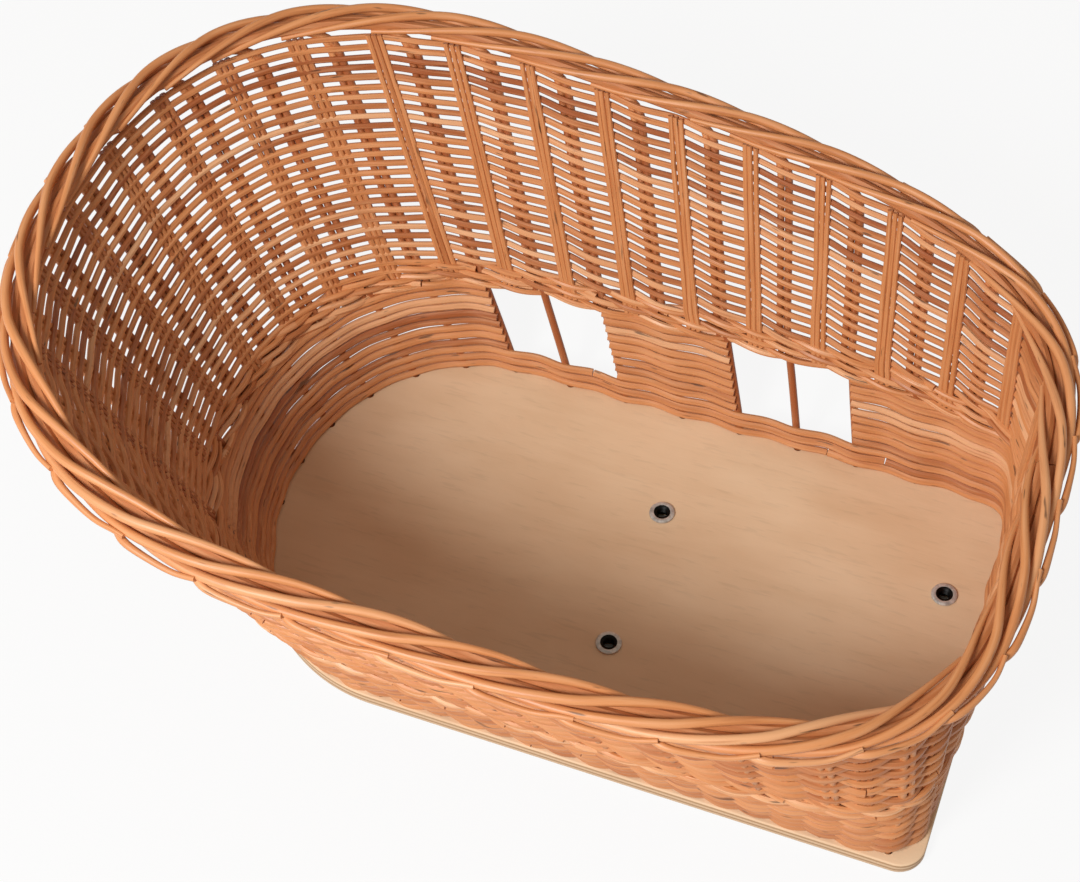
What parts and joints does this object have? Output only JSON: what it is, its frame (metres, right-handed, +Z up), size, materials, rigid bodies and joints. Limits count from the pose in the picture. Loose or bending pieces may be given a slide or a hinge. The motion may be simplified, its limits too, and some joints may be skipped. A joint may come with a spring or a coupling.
{
  "type": "dog bicycle basket",
  "caption": "Open willow basket for carrying a small dog on a bicycle, with a plywood floor, slanting rim, rope-laid border and window openings low in one side.",
  "frame": {"origin": "on the underside of the floor board, under the middle of the rim", "axes": "+X to the square end, +Y to the wall with the windows, +Z up"},
  "size_m": [0.5742, 0.414, 0.2579],
  "materials": {
    "plywood": "sanded birch plywood",
    "tee_nut_steel": "dark zinc-plated steel",
    "stake_willow": "boiled and peeled willow, satin",
    "weaver_willow": "boiled and peeled willow, satin"
  },
  "bodies": {
    "root": {"base_board": "plywood", "tee_nut_1": "tee_nut_steel", "tee_nut_2": "tee_nut_steel", "tee_nut_3": "tee_nut_steel", "tee_nut_4": "tee_nut_steel", "stake_01": "stake_willow", "stake_02": "stake_willow", "stake_03": "stake_willow", "stake_04": "stake_willow", "stake_05": "stake_willow", "stake_06": "stake_willow", "stake_07": "stake_willow", "stake_08": "stake_willow", "stake_09": "stake_willow", "stake_10": "stake_willow", "stake_11": "stake_willow", "stake_12": "stake_willow", "stake_13": "stake_willow", "stake_14": "stake_willow", "stake_15": "stake_willow", "stake_16": "stake_willow", "stake_17": "stake_willow", "stake_18": "stake_willow", "stake_19": "stake_willow", "stake_20": "stake_willow", "stake_21": "stake_willow", "stake_22": "stake_willow", "stake_23": "stake_willow", "stake_24": "stake_willow", "stake_25": "stake_willow", "stake_26": "stake_willow", "stake_27": "stake_willow", "stake_28": "stake_willow", "stake_29": "stake_willow", "stake_30": "stake_willow", "stake_31": "stake_willow", "stake_32": "stake_willow", "stake_33": "stake_willow", "stake_34": "stake_willow", "wall_panel_01": "weaver_willow", "wall_panel_02": "weaver_willow", "wall_panel_03": "weaver_willow", "wall_panel_04": "weaver_willow", "wall_panel_05": "weaver_willow", "wall_panel_06": "weaver_willow", "wall_panel_07": "weaver_willow", "wall_panel_08": "weaver_willow", "wall_panel_09": "weaver_willow", "wall_panel_10": "weaver_willow", "wall_panel_11": "weaver_willow", "wall_panel_12": "weaver_willow", "wall_panel_13": "weaver_willow", "wall_panel_14": "weaver_willow", "wall_panel_15": "weaver_willow", "wall_panel_16": "weaver_willow", "wall_panel_17": "weaver_willow", "window_sill_1": "weaver_willow", "window_sill_2": "weaver_willow"}
  },
  "joints": []
}
